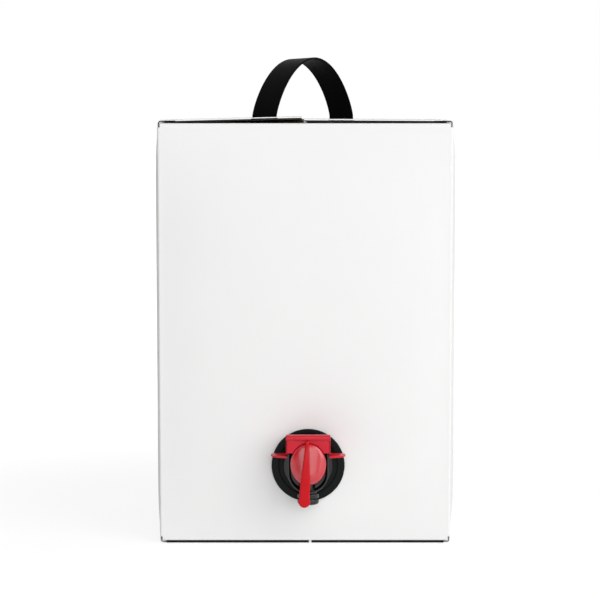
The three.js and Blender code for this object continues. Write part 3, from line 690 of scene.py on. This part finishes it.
bag = {
    "corner": 24.0, "cornerPower": 5.0, "weldHeight": 10.0, "weldThickness": 0.9, "pleats": 0.8, "inset": 0.8,
    "pocket": ((0, -17.5), (12.5, -17.5), (12.5, -7), (24.4, -7), (24.4, 4), (0, 4)),
}


def weldPlace(x, z, y):
    return np.stack([x, y, z], -1)


def makeBag():
    # across = half * sign(cos) * |cos|^(2/5), drawn in to nothing at both ends by
    # (1 - |2 share - 1|^12)^0.45, with pleats near them
    low, high = bagLow + 0.6, bagHigh - 0.6
    top = high[2] - bag["weldHeight"]
    centre = (low + high) / 2
    half = (high - low) / 2
    turn = fullTurn(220)
    rise = np.linspace(0, 1, 130)
    across = squared(np.cos(turn), 2 / bag["cornerPower"])
    deep = squared(np.sin(turn), 2 / bag["cornerPower"])
    share = 0.5 - 0.5 * np.cos(math.pi * rise)
    z = low[2] + (top - low[2]) * share
    ends = np.clip(1 - np.abs(2 * share - 1) ** 12, 0, 1) ** 0.45
    pleat = np.sin(turn * 23 + 3 * np.sin(turn * 4))[None] * smoothStep(np.abs(2 * share - 1), 0.45, 0.95)[:, None]
    inward = 1 - (bag["pleats"] + bag["pleats"] * pleat) / half[1] * ends[:, None]
    x = centre[0] + (half[0] - bag["inset"]) * across[None] * ends[:, None] * inward
    y = centre[1] + (half[1] - bag["inset"]) * deep[None] * ends[:, None] * inward
    grid = np.stack([x, y, np.broadcast_to(z[:, None], x.shape)], -1)
    wide, weld = half[0] - bag["corner"], bag["weldThickness"] / 2
    outline = roundCorners(rectangle(centre[0] - wide, centre[0] + wide, top - 3, high[2] + 0.4), 3, 5)
    shells = Shells().tube(grid).plate(outline, -weld, weld, 0.2, weldPlace)
    piece = shells.piece("filledBag", bagFilm, 60)
    pocket = Shells().add(turnedGrid(bag["pocket"], 64), closeRows=True).piece("pocketCutter", bagFilm)
    cutAway(piece, [pocket])
    bpy.data.objects.remove(pocket)
    tidyMesh(piece.data, 60, False)
    dress(piece, "pack", "bag_film", "inner_bag")
    print("bag made")


makeBag()


# Tap

tap = {
    "seat": 0.3, "barrelRadius": 11.0, "boreRadius": 9.0, "barrelLength": 12.5, "housingHalf": 11.65,
    "housingDepth": 13.0, "housingGap": 1.5, "wall": 1.05, "recess": 4.5, "arc": 1.85, "chamberWall": 2.0,
    "chamberInset": 1.8, "nozzleRadius": 6.3, "nozzleBore": 4.2, "nozzleDrop": 20.8, "nozzleOut": 4.9,
}
gland = {
    "flangeRadius": 21.2, "flangeThickness": 1.6, "neckRadius": 15.0, "weldRadius": 23.0, "weldThickness": 1.4,
    "rearThickness": 1.5, "rearInset": 1.2, "rearGap": 1.6, "lipRadius": 14.0, "lipHeight": 1.1,
    "grooveDepth": 0.35,
}
button = {"halfWidth": 10.2, "halfHeight": 12.2, "centre": 3.65, "crown": 4.5, "travel": 4.0, "sliding": 0.4}
flangeFront = tap["seat"] + gland["flangeThickness"]
lipFront = flangeFront + gland["lipHeight"]
housingBack = lipFront + tap["housingGap"]
housingFront = housingBack + tap["housingDepth"]
recessFloor = housingFront - tap["recess"]
chamberBack = housingBack + tap["chamberWall"]
chamberHalf = tap["housingHalf"] - tap["wall"] - tap["chamberInset"]
housingTop = button["centre"] + button["halfHeight"] + button["sliding"] + tap["wall"]
barrelBack = housingBack - tap["barrelLength"]
buttonBack = recessFloor + button["travel"] + button["sliding"]
domeBack = buttonBack + 1.2


def makeGland():
    seat = tap["seat"]
    rearFront = -carton["board"] - seat
    rearBack = rearFront - gland["rearThickness"]
    weldFront = rearBack - gland["rearGap"]
    weldBack = weldFront - gland["weldThickness"]
    bore, neck, weld = tap["barrelRadius"] + seat, gland["neckRadius"], gland["weldRadius"]
    flange, lip, groove = gland["flangeRadius"], gland["lipRadius"], flangeFront - gland["grooveDepth"]
    rear = flange - gland["rearInset"]
    corners = [
        [bore, weldBack], [weld, weldBack], [weld, weldFront], [neck, weldFront], [neck, rearBack],
        [rear, rearBack], [rear, rearFront], [neck, rearFront], [neck, seat], [flange, seat],
        [flange, flangeFront], [lip + 3.2, flangeFront], [lip + 2.8, groove], [lip + 0.6, groove],
        [lip, flangeFront], [lip, lipFront], [bore, lipFront],
    ]
    shells = Shells().ring(turnedGrid(roundCorners(corners, 0.35, 4), 128))
    dress(shells.piece("glandFlange", blackFlange, 60), "pack", "black_gland", "spout_gland")


def uRadius(turn, inset):
    # distance from the button's centre to the U outline, drawn in by inset, along each direction
    half, top = tap["housingHalf"] - inset, housingTop - inset - button["centre"]
    low = -tap["arc"] - button["centre"]
    c, s = np.cos(turn), np.sin(turn)
    big = 1e6
    side = np.where(np.abs(c) > 1e-9, half / np.maximum(np.abs(c), 1e-9), big)
    roof = np.where(s > 1e-9, top / np.maximum(s, 1e-9), big)
    # circle of radius half about (0, low)
    b = s * low
    disc = np.maximum(b * b - (low * low - half * half), 0)
    below = side * s < low
    r = np.where(below, b + np.sqrt(disc), side)
    # a soft minimum rounds the two upper corners
    p = 14.0
    return np.where(s > 0, (r ** -p + roof ** -p) ** (-1 / p), r)


def ovalRadius(turn, halfWidth, halfHeight):
    return halfWidth * halfHeight / np.hypot(halfHeight * np.cos(turn), halfWidth * np.sin(turn))


def makeTapBody():
    turn = fullTurn(192)
    chamberHeight = button["halfHeight"] - (button["halfWidth"] - chamberHalf)
    # each ring: how far in from the U, the distance out, the share of the turn from U to oval, and its size
    wall, rim, edge, fillet = tap["wall"], tap["wall"] / 2, 0.4, 0.8
    bottom = wall + fillet
    arc = [(1 - math.cos(k), 1 - math.sin(k)) for k in np.linspace(0, math.pi / 2, 6)]
    rings = [(0.0, housingBack, 0.0, 0.0), (0.0, housingBack, 0.0, 0.6)]
    rings += [(edge * v, housingBack + edge * u, 0.0, 1.0) for u, v in arc]
    rings += [(0.0, recessFloor, 0.0, 1.0)]
    rings += [(rim * u, housingFront - rim * v, 0.0, 1.0) for u, v in arc]
    rings += [(wall - rim * u, housingFront - rim * v, 0.0, 1.0) for u, v in arc[::-1]]
    rings += [(wall + fillet * u, recessFloor + fillet * v, 0.0, 1.0) for u, v in arc]
    rings += [(bottom, recessFloor, morph, 1.0) for morph in (0.3, 0.7, 0.95)]
    rings += [(bottom, recessFloor - edge * u, 1.0, 1 + 0.03 * v) for u, v in arc]
    rings += [(bottom, chamberBack, 1.0, size) for size in (1.0, 0.5, 0.0)]
    rows = []
    for inset, out, morph, scale in rings:
        r = (uRadius(turn, inset) * (1 - morph) + ovalRadius(turn, chamberHalf, chamberHeight) * morph) * scale
        rows.append(toWorld(r * np.cos(turn), button["centre"] + r * np.sin(turn), out))
    shells = Shells().tube(np.stack(rows))
    bore, barrelOut, lip, seat = tap["boreRadius"], tap["barrelRadius"], gland["lipRadius"], tap["seat"]
    barrel = [[bore, barrelBack], [barrelOut, barrelBack], [barrelOut, lipFront + seat],
              [lip, lipFront + seat], [lip, housingBack + seat], [bore, housingBack + seat]]
    shells.ring(turnedGrid(roundCorners(barrel, 0.3, 4), 96))
    r, tip = tap["nozzleRadius"], -tap["nozzleDrop"]
    nozzle = [[0, tip + 8], [tap["nozzleBore"], tip + 7.6], [tap["nozzleBore"], tip], [r - 0.3, tip],
              [r, tip + 1.2], [r, tip + 2.9], [r - 1.1, tip + 3.3], [r, tip + 3.7], [r, tip + 6.2],
              [r - 0.9, tip + 6.6], [r - 0.9, 0], [0, 0]]
    radii = [0, 0.2, 0.4, 1.0, 1.0, 1.2, 0.15, 1.2, 1.2, 0.3, 0.3, 0]
    out = housingBack + tap["nozzleOut"]
    shells.ring(uprightGrid(roundCorners(nozzle, radii, 5), out, 96))
    dress(shells.piece("tapBody", blackGloss, 50), "pack", "black_tap", "tap_body")


def makeButton():
    # a profile of radius and distance out for the skirt, the underside and the rolled edge, then the dome:
    # height = crown * (0.72 - 0.34 v) * sqrt(1 - |x|^2.1 - |v|^4.5) * sqrt(1 - share^16), with x and v the
    # place across and up as shares of the oval
    half = button["halfWidth"]
    skirt = chamberHalf - button["sliding"]
    back = chamberBack + button["travel"] + 1
    under = np.array([[0, buttonBack + 0.4], [skirt - 1.2, buttonBack + 0.4], [skirt - 1.2, back], [skirt, back],
                      [skirt, buttonBack], [half - 0.35, buttonBack], [half, buttonBack + 0.35],
                      [half, buttonBack + 0.9]])
    share = np.concatenate([np.sin(np.linspace(math.pi / 2, 0.9, 22)), np.linspace(math.sin(0.9), 0, 30)[1:]])
    turn = fullTurn(160)[:, None]
    x, v = share * np.cos(turn), share * np.sin(turn)
    inside = np.clip(1 - np.abs(x) ** 2.1 - np.abs(v) ** 4.5, 0, 1) ** 0.5
    rim = np.clip(1 - share ** 16, 0, 1) ** 0.5
    height = button["crown"] * (0.72 - 0.34 * v) * inside * rim
    stretch = button["halfHeight"] / half
    radius, centre = under[:, 0], button["centre"]
    low = toWorld(np.cos(turn) * radius, centre + np.sin(turn) * radius * stretch, under[:, 1][None])
    dome = toWorld(x * half, centre + v * half * stretch, domeBack + height)
    shells = Shells().tube(np.swapaxes(np.concatenate([low, dome], 1), 0, 1))
    rear, front = chamberBack + button["travel"] + 2.4, buttonBack + 0.8
    shells.ring(turnedGrid(roundCorners(rectangle(1.9, 3.3, rear, front), 0.2, 3), 48))
    dress(shells.piece("buttonDome", redButton, 50), "button", "red_button", "push_button")


grip = {
    "half": 12.7, "bar": 3.3, "barDepth": 4.8, "barOut": 2.3, "roof": 1.2, "roofSetback": 3.2, "face": 1.6,
    "wingSpan": 43.0, "wingThickness": 1.5, "wingLength": 10.5, "wingTop": 7.9,
}
gripInside = tap["housingHalf"] + tap["seat"]
gripBack = housingBack + tap["seat"]
faceBack = housingFront + tap["seat"]
faceFront = faceBack + grip["face"]
barBottom = housingTop + tap["seat"]
barTop = barBottom + grip["bar"]
barFront = faceFront + grip["barOut"]


def bandGrid(inner, outer, low, high, radius, steps=4):
    # a band between two curves, with a rounded rectangle for its section, closed at both ends
    t = np.linspace(0, math.pi / 2, steps + 1)
    side = np.concatenate([np.zeros(2 * steps + 2), np.ones(2 * steps + 2)])
    inset = np.concatenate([radius * (1 - np.sin(t)), radius * (1 - np.cos(t)),
                            -radius * (1 - np.sin(t)), -radius * (1 - np.cos(t))])
    level = np.concatenate([low + radius * (1 - np.cos(t)), high - radius * (1 - np.sin(t)),
                            high - radius * (1 - np.cos(t)), low + radius * (1 - np.sin(t))])
    across = outer - inner
    length = np.maximum(np.linalg.norm(across, axis=1), 2.2 * radius)[:, None]
    direction = across / length
    reach = side[None, :, None] * length[:, None] + inset[None, :, None]
    points = closedEnds(inner[:, None] + direction[:, None] * reach)
    level = np.broadcast_to(level[None], points.shape[:2]).copy()
    level[0] = level[-1] = (low + high) / 2
    return toWorld(points[..., 0], points[..., 1], level)


def sidePlace(out, up, across):
    return toWorld(across, up, out)


def flatPlace(across, out, up):
    return toWorld(across, up, out)


def makeGrip():
    shells = Shells()
    # bar over the button and the roof behind it, their sections seen from the side and carried across
    barBack = barFront - grip["barDepth"]
    roofBack, roofFront, roofTop = gripBack + grip["roofSetback"], barBack + 1, barBottom + grip["roof"]
    section = roundCorners(rectangle(barBack, barFront, barBottom, barTop), 1.5, 8)
    roof = roundCorners(rectangle(roofBack, roofFront, barBottom, roofTop), 0.4, 4)
    wide = grip["half"]
    shells.plate(section, -wide, wide, 0.5, sidePlace).plate(roof, -wide + 0.05, wide - 0.05, 0.3, sidePlace)
    # face plate around the upper half of the button
    faceBottom = grip["wingTop"] + 2.4
    low = math.asin((faceBottom - button["centre"]) / (button["halfHeight"] + button["sliding"]))
    turn = np.linspace(low, math.pi - low, 60)
    inner = np.stack([(button["halfWidth"] + 0.2) * np.cos(turn),
                      button["centre"] + (button["halfHeight"] + 0.2) * np.sin(turn)], 1)
    c, s = np.cos(turn), np.sin(turn)
    # its outside is the cheeks' line, and it runs up to just inside the bar
    faceTop = barBottom + 0.6
    outerZ = faceBottom + (faceTop - faceBottom) * smoothStep(s, math.sin(low), 0.86)
    outer = np.stack([np.clip(1.7 * wide * c, -wide, wide), outerZ], 1)
    shells.tube(bandGrid(inner, outer, faceBack, faceFront, 0.3))
    # cheeks down both sides of the housing
    cheekBottom = grip["wingTop"] - grip["wingThickness"]
    for side in (-1, 1):
        a, b = sorted((side * gripInside, side * wide))
        outline = roundCorners([[gripBack, cheekBottom], [faceFront, cheekBottom + 3.2], [faceFront, faceTop],
                                [gripBack, faceTop]], [0.3, 1.2, 0.3, 0.3], 5)
        shells.plate(outline, a, b, 0.2, sidePlace)
        # wings, seen from above, which thin out towards their tips: thickness = full * (1 - share^2 / 2)
        tip, back, front = grip["wingSpan"] / 2, gripBack, gripBack + grip["wingLength"]
        wing = roundCorners([[side * (gripInside + 0.2), back], [side * tip, back + 0.6], [side * tip, front - 0.6],
                             [side * (gripInside + 0.2), front]], [0, 3.6, 3.6, 0], 9)
        grid = mouldedGrid(wing, cheekBottom, grip["wingTop"], 0.6, flatPlace)
        share = np.clip((np.abs(grid[..., 0] - tapX) - gripInside) / (tip - gripInside), 0, 1)
        topZ = tapZ + grip["wingTop"]
        grid[..., 2] = topZ - (topZ - grid[..., 2]) * (1 - 0.5 * share ** 2)
        shells.tube(grid)
    dress(shells.piece("fingerGrip", redGrip, 50), "pack", "red_grip", "grip_frame")


strip = {
    "thickness": 1.5, "tip": -17.0, "endRadius": 3.4, "x": -2.2, "clear": 0.5, "top": (-1.5, 0.5),
    "levels": (7.0, 15.0), "leftReach": (2.45, 3.05), "rightReach": (3.3, 3.05),
}


def makeStrip():
    # a wedge that follows the dome down from the bar and ends in a round pull; its section is a rounded
    # rectangle, |a|^3.2 + |b|^3.2 = 1
    top, tipZ, endR, endX = barBottom - tap["seat"], strip["tip"], strip["endRadius"], strip["x"]
    apart = strip["clear"] + strip["thickness"] / 2
    turn = np.radians(np.linspace(66, 0, 24))
    out = domeBack + (button["crown"] + apart) * np.cos(turn)
    up = button["centre"] + (button["halfHeight"] + apart) * np.sin(turn)
    crownOut = out[-1]
    lower = np.array([[crownOut, button["centre"] - 4], [crownOut, button["centre"] - 7],
                      [crownOut - 0.5, -tap["arc"] - 6], [crownOut - 1.1, tipZ - endR - 0.5]])
    sideLine = np.concatenate([[[faceFront + apart, top]], np.stack([out, up], 1), lower])
    order = np.argsort(sideLine[:, 1])
    z = np.concatenate([np.linspace(top, tipZ, 90), tipZ - endR * np.sin(np.linspace(0, math.pi / 2, 22)[1:])])
    depth = np.interp(z, sideLine[order, 1], sideLine[order, 0])
    levels = [-top, *strip["levels"], -tipZ]
    left, right = strip["top"]
    leftEdge = np.interp(-z, levels, [left, *(endX - reach for reach in strip["leftReach"]), endX - endR])
    rightEdge = np.interp(-z, levels, [right, *(endX + reach for reach in strip["rightReach"]), endX + endR])
    pull = np.sqrt(np.clip(endR ** 2 - (z - tipZ) ** 2, 0, None))
    leftEdge = np.where(z < tipZ, endX - pull, leftEdge)
    rightEdge = np.where(z < tipZ, endX + pull, rightEdge)
    half = strip["thickness"] / 2
    t = fullTurn(28)
    p = 2 / 3.2
    sx, sy = squared(np.cos(t), p), squared(np.sin(t), p)
    middle, wide = (leftEdge + rightEdge) / 2, (rightEdge - leftEdge) / 2
    slope = np.gradient(np.stack([depth, z], 1), axis=0)
    slope /= np.linalg.norm(slope, axis=1)[:, None]
    swell = half * sy * np.minimum(1, wide / 0.6)[:, None]
    grid = toWorld(middle[:, None] + wide[:, None] * sx, z[:, None] + slope[:, [0]] * swell,
                   depth[:, None] - slope[:, [1]] * swell)
    shells = Shells().tube(closedEnds(grid)[:-1])
    dress(shells.piece("tearStrip", redStrip, 50), "pack", "red_strip", "tamper_strip")


makeGland()
makeTapBody()
makeButton()
makeGrip()
makeStrip()
for node, material in (("valve_stem", stemWhite), ("valve_seal", sealSoft)):
    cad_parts[node].data.materials.clear()
    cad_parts[node].data.materials.append(material)
print("tap made")


# Stage: pale floor, studio light and the photograph's view

studio = {
    "cameraAt": (-3.0, -1124.0, 251.2), "pitch": 5.733, "view": 18.25,
    "keyAzimuth": 50.0, "keyHeight": 1350.0, "keyDistance": 2700.0, "keySize": (2200.0, 2700.0), "keyPower": 45.0,
    "fillAt": (50.0, -2400.0, 800.0), "fillTurn": (75.0, 0.0, 1.0), "fillSize": 1600.0, "fillPower": 18.0,
    "world": 0.46, "leftSide": (-1.0, 0.0, 0.0), "leftFrom": 0.0, "leftTo": 0.8, "leftLevel": 0.08,
    "floorEnds": (-6000, 6000, -3000, 9000), "floorColour": 0.3, "floorGlow": 0.81, "floorBounce": 0.44,
    "fadeFrom": 0.15, "fadeTo": 0.6,
    "darkSide": (-0.309, -0.951, 0.0), "darkFrom": 0.55, "darkTo": 0.86, "darkLevel": 0.03,
}


def anyRay(tree, path, first, *others):
    # 1 where the light path is one of these kinds of ray, else 0
    found = path.outputs[first]
    for ray in others:
        more = tree.nodes.new("ShaderNodeMath")
        more.operation = "MAXIMUM"
        link(tree, found, more.inputs[0])
        link(tree, path.outputs[ray], more.inputs[1])
        found = more.outputs[0]
    return found


def blend(tree, factor, first, second):
    # a float mix whose ends are numbers or node values
    mix = tree.nodes.new("ShaderNodeMix")
    link(tree, factor, mix.inputs["Factor"])
    for name, value in (("A", first), ("B", second)):
        if isinstance(value, float):
            mix.inputs[name].default_value = value
        else:
            link(tree, value, mix.inputs[name])
    return mix.outputs["Result"]


def softChange(tree, value, start, end, first, second):
    # first below start and second above end, with a soft change between
    change = tree.nodes.new("ShaderNodeMapRange")
    change.interpolation_type = "SMOOTHSTEP"
    preset(change, {"From Min": start, "From Max": end, "To Min": first, "To Max": second})
    link(tree, value, change.inputs["Value"])
    return change.outputs["Result"]


def makeWorld():
    # white for the camera; for glossy rays a white room that is dim in front; for the rest an even light
    # that fades out on the left
    world = bpy.data.worlds.new("studioWorld")
    scene.world = world
    world.use_nodes = True
    tree = world.node_tree
    nodes = tree.nodes
    background = nodes["Background"]
    background.inputs["Color"].default_value = (1, 1, 1, 1)
    path, place = nodes.new("ShaderNodeLightPath"), nodes.new("ShaderNodeTexCoord")

    def towards(name, level):
        # a level all round the room but for one side, which has its own
        along = nodes.new("ShaderNodeVectorMath")
        along.operation = "DOT_PRODUCT"
        along.inputs[1].default_value = studio[name + "Side"]
        link(tree, place.outputs["Generated"], along.inputs[0])
        start, end, other = (studio[name + part] for part in ("From", "To", "Level"))
        return softChange(tree, along.outputs["Value"], start, end, level, other)

    glossy, soft = towards("dark", 1.0), towards("left", studio["world"])
    seen = anyRay(tree, path, "Is Camera Ray", "Is Transmission Ray")
    strength = blend(tree, path.outputs["Is Glossy Ray"], blend(tree, seen, soft, 1.0), glossy)
    link(tree, strength, background.inputs["Strength"])


def makeFloor():
    mesh = newMesh("floor", [[x, y, 0] for x, y in rectangle(*studio["floorEnds"])], [[0, 1, 2, 3]])
    floor = bpy.data.objects.new("floor", mesh)
    scene.collection.objects.link(floor)
    material, tree, shader = newMaterial("floorPale")
    preset(shader, {"Base Color": (studio["floorColour"],) * 3 + (1,), "Roughness": 0.9,
                    "Specular IOR Level": 0.0, "Emission Color": (1, 1, 1, 1)})
    # where it is seen, the floor glows, and fully so further out, so that it runs into the white backdrop
    path, place = tree.nodes.new("ShaderNodeLightPath"), tree.nodes.new("ShaderNodeTexCoord")
    away = tree.nodes.new("ShaderNodeVectorMath")
    away.operation = "LENGTH"
    link(tree, place.outputs["Object"], away.inputs[0])
    fade = softChange(tree, away.outputs["Value"], studio["fadeFrom"], studio["fadeTo"], studio["floorGlow"], 1.0)
    seen = anyRay(tree, path, "Is Camera Ray", "Is Glossy Ray", "Is Transmission Ray")
    link(tree, blend(tree, seen, studio["floorBounce"], fade), shader.inputs["Emission Strength"])
    mesh.materials.append(material)


def makeSoftbox(name, place, turn, size, power):
    lamp = bpy.data.lights.new(name, "AREA")
    lamp.shape = "RECTANGLE"
    lamp.size, lamp.size_y = (side * mm for side in size)
    lamp.energy = power
    box = bpy.data.objects.new(name, lamp)
    box.location = np.array(place) * mm
    box.rotation_euler = turn
    scene.collection.objects.link(box)


def makeLights():
    # a tall softbox to the right of the camera, turned towards the carton, and a wide one over the camera
    turn, distance, height = math.radians(studio["keyAzimuth"]), studio["keyDistance"], studio["keyHeight"]
    place = (math.sin(turn) * distance, -math.cos(turn) * distance, height)
    drop = math.atan2(height - 120, distance)
    makeSoftbox("keyLight", place, (math.pi / 2 - drop, 0, turn), studio["keySize"], studio["keyPower"])
    fillTurn = [math.radians(angle) for angle in studio["fillTurn"]]
    makeSoftbox("fillLight", studio["fillAt"], fillTurn, (studio["fillSize"],) * 2, studio["fillPower"])


def makeCamera():
    lens = bpy.data.cameras.new("camera")
    lens.sensor_width = 36
    lens.lens = 18 / math.tan(math.radians(studio["view"] / 2))
    camera = bpy.data.objects.new("camera", lens)
    camera.location = [v * mm for v in studio["cameraAt"]]
    camera.rotation_euler = (math.radians(90 - studio["pitch"]), 0, 0)
    scene.collection.objects.link(camera)
    scene.camera = camera


makeWorld()
makeFloor()
makeLights()
makeCamera()
scene.view_settings.view_transform = "Standard"
print("stage made")
